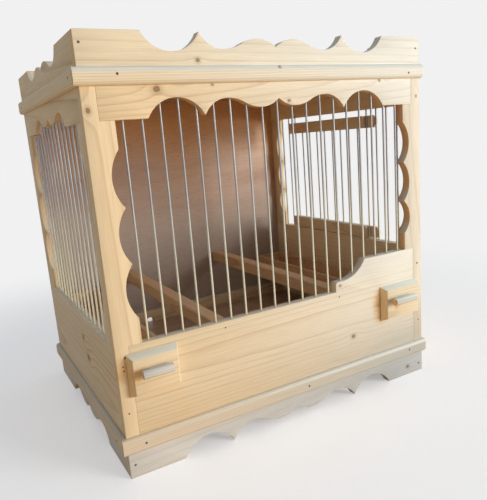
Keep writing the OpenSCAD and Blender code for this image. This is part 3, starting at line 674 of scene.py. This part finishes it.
# What softwood() is told of each board, by the axis of its grain
BOARDS = {
    X: {
        "crown_front": dict(
            ring=5.0, depth=40, heart=3.0, slope=0.01, contrast=0.6, resin=0.12, painted_right=0.85,
            knots=on_y(FRONT, (-76.7, 342.7, 1.4))),
        "crown_back": dict(ring=4.0, contrast=0.7),
        "upper_band_front": dict(
            ring=1.9, depth=28, heart=9.0, slope=0.01, contrast=0.8, resin=0.2, painted_right=0.85,
            sky_paint=0.8, sky_paint_colour=UPPER_BAND_SKY_PAINT, slant=0.02, turn=0.15, ends=(END, SUNLIT_END), end=0.7,
            knots=on_y(BAND_FRONT, (0.0, 336.5, 1.0))),
        "upper_band_back": dict(ring=2.2, depth=30, heart=8.0),
        "front_valance": dict(
            ring=3.6, depth=30, heart=0.8, slope=0.05, contrast=0.7, tones=GOLD, resin=0.2, painted_right=0.9,
            cut=0.75, knots=on_y(FRONT, (-114.7, 321.2, 2.2), (119.6, 323.4, 1.1), (-65.4, 323.4, 0.8),
                                 (10.6, 307.9, 1.2))),
        "front_board": dict(
            ring=2.6, depth=36, heart=-0.05, slope=0.006, contrast=0.75, tones=GOLD, resin=0.25,
            painted_right=0.7, calm=(120, 134), knots=on_y(FRONT, (74.7, 65.9, 1.7), (59.9, 124.0, 1.0)),
            # stains: painted warm bounce light beside the right block
            stains_and_bounce=on_y(FRONT, (114.0, 101.0, 15, 0.8), (114.0, 91.0, 15, 0.8), (114.0, 81.0, 15, 0.8))),
        "lower_band_front": dict(
            ring=2.1, depth=28, heart=7.0, contrast=0.7, tones=DULL, resin=0.15, painted_right=0.75, tint=ASH,
            sky_paint=0.85, sky_paint_colour=LOWER_BAND_SKY_PAINT, slant=0.02, turn=0.2, sky_paint_right=True),
        "lower_band_back": dict(ring=2.4, depth=30, heart=-7.0, tones=DULL),
        "skirt_front": dict(
            ring=4.2, heart=1.5, contrast=0.45, tones=GREY, resin=0.0, painted_right=0.6, tint=SLATE,
            cut=0.1, knots=on_y(FRONT, (152.0, 9.6, 1.5))),
        "skirt_back": dict(ring=4.0, tones=GREY, contrast=0.7),
        "tray_strip": dict(ring=2.6, depth=70, heart=1.4, tones=GOLD),
        "drawer_left_block": dict(
            ring=3.4, depth=26, heart=0.8, tones=GOLD, contrast=0.6, resin=0.5,
            ends=(GOLDEN, SUNLIT_END), end=0.85, sky_paint=0.8, sky_paint_colour=LEFT_BLOCK_SKY_PAINT, slant=0.3,
            # stains: painted warm bounce light on the left block
            stains_and_bounce=on_y(BLOCK_FRONT, (-159.5, 94.0, 11, 0.7))),
        "drawer_right_block": dict(
            ring=3.0, depth=22, heart=-0.6, contrast=0.8,
            ends=(GOLDEN, SUNLIT_END), end=0.85, sky_paint=0.85, sky_paint_colour=RIGHT_BLOCK_SKY_PAINT, slant=0.3,
            # stains: painted shade and warm bounce light under the pull's left end
            stains_and_bounce=on_y(BLOCK_FRONT, (129.0, 89.5, 6, 1.0))),
        "drawer_left_pull": dict(ring=2.0, depth=30, heart=0.5, cut=0.0, tones=GREY, contrast=1.2),
        "drawer_right_pull": dict(
            ring=2.0, depth=30, heart=-0.5, cut=0.0, tones=GREY, ends=(CUT_LIGHT, SUNLIT_END), end=0.85,
            sky_paint=0.8, sky_paint_colour=PULL_SKY_PAINT, slant=0.1),
        "drawer_left_back": DRAWER_BOARD,
        "drawer_right_back": DRAWER_BOARD,
    },
    Y: {
        "crown_left": dict(ring=4.0, contrast=0.8),
        "crown_right": dict(ring=3.6, contrast=0.8),
        "upper_band_left": dict(ring=2.2, depth=30, heart=8.0),
        "upper_band_right": dict(ring=2.4, depth=30, heart=-8.0),
        "left_header": dict(ring=3.4),
        "right_header": dict(ring=3.2, tones=HONEY, contrast=0.8),
        "left_board": dict(
            ring=3.6, depth=40, knots=[((LEFT, -25.9, 76.0), 3.2), ((LEFT, -13.9, 94.0), 2.4)]),
        "right_board": dict(ring=3.4, depth=44, slope=0.04, tones=HONEY, contrast=0.9),
        "lower_band_left": dict(ring=2.2, depth=30, heart=-8.0, tones=DULL),
        "lower_band_right": dict(ring=2.4, depth=30, heart=8.0, tones=DULL),
        "skirt_left": dict(ring=4.0, tones=GREY),
        "skirt_right": dict(ring=4.0, tones=GREY),
        "door_top_rail": dict(ring=2.2, tones=HONEY),
        "door_bottom_rail": dict(ring=2.4, tones=HONEY),
        "runner_left": {},
        "runner_right": {},
        **{f"drawer_{side}_{board}": DRAWER_BOARD
           for side in ("left", "right") for board in ("bottom", "inner_side", "outer_side")},
        "perch_left_bar": dict(ring=2.4, depth=34, tones=BROWN, cut=0.0, sky_paint=0.1),
        "perch_right_bar": dict(ring=2.2, depth=30, tones=BROWN, cut=0.0, sky_paint=0.1),
    },
    Z: {
        "front_stile_left": dict(
            ring=3.4, heart=-1.4, slope=0.01, tones=GOLD, contrast=0.7, cut=0.7, cut_way=1,
            # stains: painted warm bounce light beside the left block
            knots=on_y(FRONT, (-170.6, 307.0, 1.6)), stains_and_bounce=on_y(FRONT, (-168.0, 98.0, 17, 0.6))),
        "front_stile_right": dict(
            ring=3.0, heart=1.6, contrast=0.6, painted_right=0.5, cut=0.75, cut_way=-1,
            knots=on_y(FRONT, (170.3, 306.7, 1.0))),
        "left_stile_front": dict(ring=2.8),
        "left_stile_rear": dict(ring=3.0),
        "right_stile_front": dict(ring=2.8, tones=GOLD),
        "right_stile_rear": dict(ring=3.0, tones=GOLD, cut=0.0),
    },
}

PANELS = {
    "roof_panel": dict(tones=RED_PLY),
    "floor_panel": dict(tones=DULL_PLY),
    "back_panel": dict(tones=RED_PLY, painted_gradient=True),
    "tray_sheet": dict(tones=DULL_PLY),
}
WIRES = ("front_wires", "left_wires", "right_front_wires", "right_rear_wires", "hinge_wire", "door_wires")
BAND_ROUNDING = {"upper_band": 4.2 * MM, "lower_band": 3 * MM}
CORNER_STEPS = 8
SAME_POINT = 0.001 * MM


def swept_band(node, outward, radius, rounded):
    """The front or back band, in place of the solid, whose ends are cut square: its profile, rounded
    by radius, is carried round the corners of the case at the ends in rounded, -1 left and 1 right.
    outward is the way it faces along Y."""
    low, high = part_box(node)
    thick = high.y - low.y
    wall = high.y if outward < 0 else low.y             # the case's face behind the band
    corner = high.x - thick
    quarter = [math.pi / 2 * i / CORNER_STEPS for i in range(CORNER_STEPS + 1)]
    profile = [(0.0, low.z)]
    profile += [(thick - radius * (1 - math.sin(a)), low.z + radius * (1 - math.cos(a))) for a in quarter]
    profile += [(thick - radius * (1 - math.cos(a)), high.z - radius * (1 - math.sin(a))) for a in quarter]
    profile.append((0.0, high.z))

    # Stations from left to right: their X, and how X and Y change from there outwards
    stations = []
    for side in (-1, 1):
        if side in rounded:
            stations += [(side * corner, side * math.sin(a), outward * math.cos(a))
                         for a in (quarter if side > 0 else reversed(quarter))]
        else:
            stations.append((side * high.x, 0, outward))

    mesh = bmesh.new()
    rings = [[mesh.verts.new((x + out * in_x, wall + out * in_y, z)) for out, z in profile]
             for x, in_x, in_y in stations]
    for ring, following in zip(rings, rings[1:]):
        for i in range(len(profile)):
            j = (i + 1) % len(profile)
            mesh.faces.new((ring[i], ring[j], following[j], following[i]))
    mesh.faces.new(rings[0])
    mesh.faces.new(rings[-1])
    bmesh.ops.remove_doubles(mesh, verts=mesh.verts, dist=SAME_POINT)
    bmesh.ops.recalc_face_normals(mesh, faces=mesh.faces)
    piece = new_object(node + "_swept", mesh, nodes[node].data.materials[0])
    piece.modifiers.new("smooth", "NODES").node_group = SMOOTH
    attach(piece, "case")
    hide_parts(node)


rng = random.Random(11)
for grain, boards in BOARDS.items():
    for name, told in boards.items():
        drawn = dict(heart=rng.uniform(-0.6, 0.6), side=rng.choice((-1, 1)), seed=rng.uniform(0, 9))
        dress(name, softwood(name, grain, **{**drawn, **told}))

for band, radius in BAND_ROUNDING.items():
    swept_band(band + "_front", -1, radius, rounded=(1,))
    swept_band(band + "_back", 1, radius, rounded=(-1, 1))

for name, told in PANELS.items():
    dress(name, plywood(name, seed=rng.uniform(0, 9), **told), PLY_EASE)

STEEL = wire_steel()
for name in WIRES:
    dress(name, STEEL, ease=0)

# ---- Nails ----

NAIL = nail_steel()
NAIL_HEAD = [(1.0, 0.0), (1.0, 0.1), (0.8, 0.2), (0.45, 0.28)]          # share of the radius, rise in mm
NAIL_SIDES = 14
NAIL_R, SMALL_NAIL_R, BACK_NAIL_R = 1.05, 0.75, 1.2                     # radii in mm


def add_nails(name, body, facing, places, radius=NAIL_R):
    """Small domed nail heads whose flat sides lie on the wood; facing is the way they look."""
    mesh = bmesh.new()
    turn = Vector(facing).to_track_quat("Z", "Y").to_matrix()
    angles = [2 * math.pi * i / NAIL_SIDES for i in range(NAIL_SIDES)]
    for place in places:
        middle = Vector(place) * MM
        rows = []
        for share, rise in NAIL_HEAD:
            reach = radius * share
            rows.append([mesh.verts.new(middle + turn @ Vector((
                reach * math.cos(a) * MM, reach * math.sin(a) * MM, rise * MM))) for a in angles])
        for inner, outer in zip(rows[1:], rows):
            for i in range(NAIL_SIDES):
                j = (i + 1) % NAIL_SIDES
                mesh.faces.new((outer[i], outer[j], inner[j], inner[i]))
        mesh.faces.new(rows[-1])
        mesh.faces.new(rows[0][::-1])
    piece = new_object(name, mesh, NAIL)
    for polygon in piece.data.polygons:
        polygon.use_smooth = True
    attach(piece, body)


add_nails("nails_front_case", "case", (0, -1, 0), [(x, FRONT, z) for x, z in (
    (-171.0, 355.6), (170.0, 353.8), (-167.1, 109.0), (168.9, 127.8), (-169.9, 11.9), (169.4, 9.2))])
add_nails("nails_front_small", "case", (0, -1, 0), [(x, FRONT, z) for x, z in (
    (-73.1, 112.2), (58.2, 112.5), (-169.6, 101.7), (-169.3, 97.9), (-169.6, 59.7),
    (169.5, 62.0))], SMALL_NAIL_R)
add_nails("nails_front_bands", "case", (0, -1, 0), [(x, BAND_FRONT, z) for x, z in (
    (-146.3, 332.6), (155.6, 329.6), (-159.4, 31.1), (150.9, 31.7), (12.0, 30.6))])
add_nails("nails_left_bands", "case", (-1, 0, 0), [(-BAND_SIDE, y, z) for y, z in (
    (-121.9, 332.0), (126.0, 331.0), (-118.0, 31.0), (129.0, 30.5))])
add_nails("nails_right_bands", "case", (1, 0, 0), [(BAND_SIDE, y, z) for y, z in (
    (-117.0, 331.0), (131.0, 331.5), (-120.0, 30.5), (127.0, 31.5))])
add_nails("nails_back_bands", "case", (0, 1, 0), [(x, BAND_BACK, z) for x, z in (
    (-150.0, 331.0), (148.0, 332.0), (-152.0, 31.0), (155.0, 30.5))])
add_nails("nails_back_case", "case", (0, 1, 0), [(x, BACK, z) for x, z in (
    (-171.0, 354.5), (170.5, 355.0), (-171.0, 11.0), (170.0, 10.5),
    (-170.5, 310.0), (-171.0, 225.0), (-170.0, 140.0), (-170.5, 66.0),
    (170.5, 312.0), (170.0, 228.0), (171.0, 143.0), (170.5, 64.0),
    (-100.0, 318.0), (0.0, 319.0), (102.0, 318.0), (-73.0, 109.5), (59.0, 113.5))], BACK_NAIL_R)

# ---- Floor, backdrop and light ----

BACKDROP = (0.88, 0.88, 0.88)           # how bright the backdrop shows
FLOOR = (0.86, 0.86, 0.86)              # the floor as it shows near the object
FLOOR_GLOW = 0.36                       # which this much light of its own brightens
FLOOR_LIGHT = srgb(232, 198, 154)       # the colour of the light that it throws back
FLOOR_RADIUS = 6                        # m
FLOOR_SIDES = 96
FADE = [(0.17, 0.0), (0.42, 1.0)]       # where the floor turns into the backdrop,
FADE_SCALE = 0.5                        # as this share of the metres from the origin

SKY_LEVEL = 0.4
SKY_FROM_RIGHT = (0.13, -0.04, 0)       # how much stronger the sky is to the right and the front
HORIZON = (1.0, 0.97, 0.93)
ZENITH = (0.84, 0.93, 1.06)

LAMP_AT = Vector((2.1, -2.85, 0.74))    # m
LAMP_AIM = Vector((0, 0, 0.2))
LAMP_SIZE = 1.5
LAMP_WATTS = 90
LAMP_COLOUR = (1.0, 0.97, 0.93)


def backdrop_material():
    """A pale floor. The camera sees it near white with the object's shadow, and it fades into the
    backdrop away from the object. The light that it throws back is warm."""
    g = Look("pale_floor")
    seen = g.seen()
    g.set("Base Color", g.mix(seen, FLOOR_LIGHT, FLOOR))
    g.set("Roughness", 1.0)
    g.set("Specular IOR Level", 0.0)
    g.set("Emission Color", (1, 1, 1, 1))
    g.set("Emission Strength", g.product(seen, FLOOR_GLOW))
    far = g.ramp(g.product(g.vector("LENGTH", g.position()), FADE_SCALE), FADE, "EASE")
    plain = g.add("ShaderNodeEmission")
    g.put(plain.inputs["Color"], (*BACKDROP, 1))
    g.put(g.surface, g.mix_shaders(g.product(far, seen), g.shader.outputs[0], plain.outputs[0]))
    return g.material


def add_floor():
    mesh = bmesh.new()
    bmesh.ops.create_circle(mesh, cap_ends=True, segments=FLOOR_SIDES, radius=FLOOR_RADIUS)
    floor = new_object("floor", mesh, backdrop_material())


def add_world():
    """Light from all round, warm from the side, cool from above and stronger from the right. What
    looks past the object sees the backdrop."""
    world = bpy.data.worlds.new("studio")
    bpy.context.scene.world = world
    world.use_nodes = True
    g = Graph(world.node_tree)
    way = g.add("ShaderNodeTexCoord").outputs["Generated"]
    lit = g.add("ShaderNodeBackground")
    g.put(lit.inputs["Color"], g.ramp(g.split(way)[Z], [(0.0, HORIZON), (1.0, ZENITH)]))
    g.put(lit.inputs["Strength"], g.total(g.vector("DOT_PRODUCT", way, SKY_FROM_RIGHT), SKY_LEVEL))
    plain = g.add("ShaderNodeBackground")
    g.put(plain.inputs["Color"], (*BACKDROP, 1))
    output = g.add("ShaderNodeOutputWorld")
    g.put(output.inputs[0], g.mix_shaders(g.seen(), lit.outputs[0], plain.outputs[0]))


def add_lamp():
    data = bpy.data.lights.new("key", "AREA")
    data.shape = "SQUARE"
    data.size = LAMP_SIZE
    data.energy = LAMP_WATTS
    data.color = LAMP_COLOUR
    lamp = bpy.data.objects.new("key", data)
    lamp.location = LAMP_AT
    lamp.rotation_euler = (LAMP_AIM - LAMP_AT).to_track_quat("-Z", "Y").to_euler()
    bpy.context.scene.collection.objects.link(lamp)


add_camera()
add_floor()
add_world()
add_lamp()
bpy.context.scene.view_settings.view_transform = "Standard"
